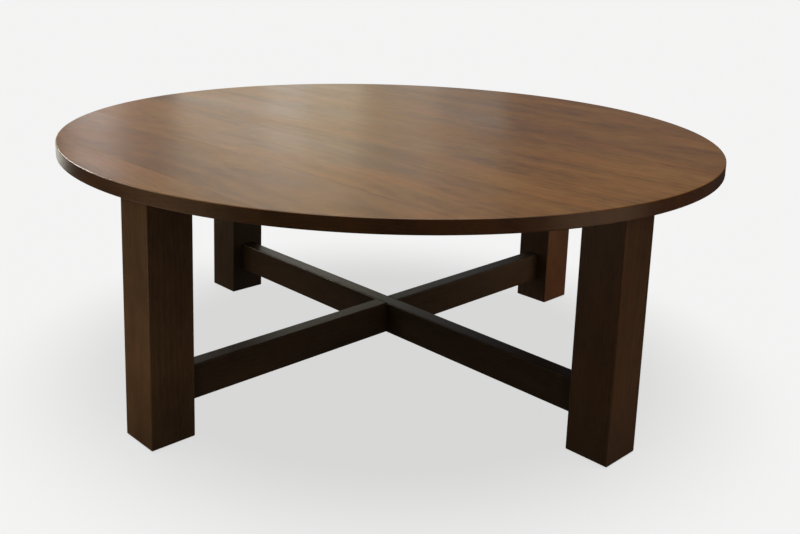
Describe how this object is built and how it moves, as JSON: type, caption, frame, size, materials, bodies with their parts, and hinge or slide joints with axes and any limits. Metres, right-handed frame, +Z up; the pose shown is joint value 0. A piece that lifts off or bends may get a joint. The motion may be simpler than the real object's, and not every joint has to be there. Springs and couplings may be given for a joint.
{
  "type": "coffee table",
  "caption": "Low round coffee table: an edge-glued board top on square legs, tied by half-lapped crossed rails near the floor and hidden under the top.",
  "frame": {"origin": "on the floor, under the middle of the round top", "axes": "+Z up; the boards of the top and one rail of each cross run along X, the other rails run along Y; a leg stands on each of +X, +Y, -X and -Y"},
  "size_m": [1.2, 1.2, 0.45],
  "materials": {
    "top_wood": "brown stained, satin lacquer",
    "frame_wood": "dark brown stained, satin lacquer",
    "zinc_steel": "zinc plated",
    "glide_nylon": "moulded, matt"
  },
  "bodies": {
    "root": {"bracket_back_left_inner": "zinc_steel", "bracket_back_left_inner_rail_screw": "zinc_steel", "bracket_back_left_inner_top_screw": "zinc_steel", "bracket_back_left_outer": "zinc_steel", "bracket_back_left_outer_rail_screw": "zinc_steel", "bracket_back_left_outer_top_screw": "zinc_steel", "bracket_back_right_inner": "zinc_steel", "bracket_back_right_inner_rail_screw": "zinc_steel", "bracket_back_right_inner_top_screw": "zinc_steel", "bracket_back_right_outer": "zinc_steel", "bracket_back_right_outer_rail_screw": "zinc_steel", "bracket_back_right_outer_top_screw": "zinc_steel", "bracket_front_left_inner": "zinc_steel", "bracket_front_left_inner_rail_screw": "zinc_steel", "bracket_front_left_inner_top_screw": "zinc_steel", "bracket_front_left_outer": "zinc_steel", "bracket_front_left_outer_rail_screw": "zinc_steel", "bracket_front_left_outer_top_screw": "zinc_steel", "bracket_front_right_inner": "zinc_steel", "bracket_front_right_inner_rail_screw": "zinc_steel", "bracket_front_right_inner_top_screw": "zinc_steel", "bracket_front_right_outer": "zinc_steel", "bracket_front_right_outer_rail_screw": "zinc_steel", "bracket_front_right_outer_top_screw": "zinc_steel", "glide_back_left": "glide_nylon", "glide_back_right": "glide_nylon", "glide_front_left": "glide_nylon", "glide_front_right": "glide_nylon", "leg_back_left": "frame_wood", "leg_back_right": "frame_wood", "leg_front_left": "frame_wood", "leg_front_right": "frame_wood", "lower_rail_over": "frame_wood", "lower_rail_under": "frame_wood", "top_board_1": "top_wood", "top_board_2": "top_wood", "top_board_3": "top_wood", "top_board_4": "top_wood", "top_board_5": "top_wood", "top_board_6": "top_wood", "top_board_7": "top_wood", "top_board_8": "top_wood", "upper_rail_over": "frame_wood", "upper_rail_under": "frame_wood"}
  },
  "joints": []
}
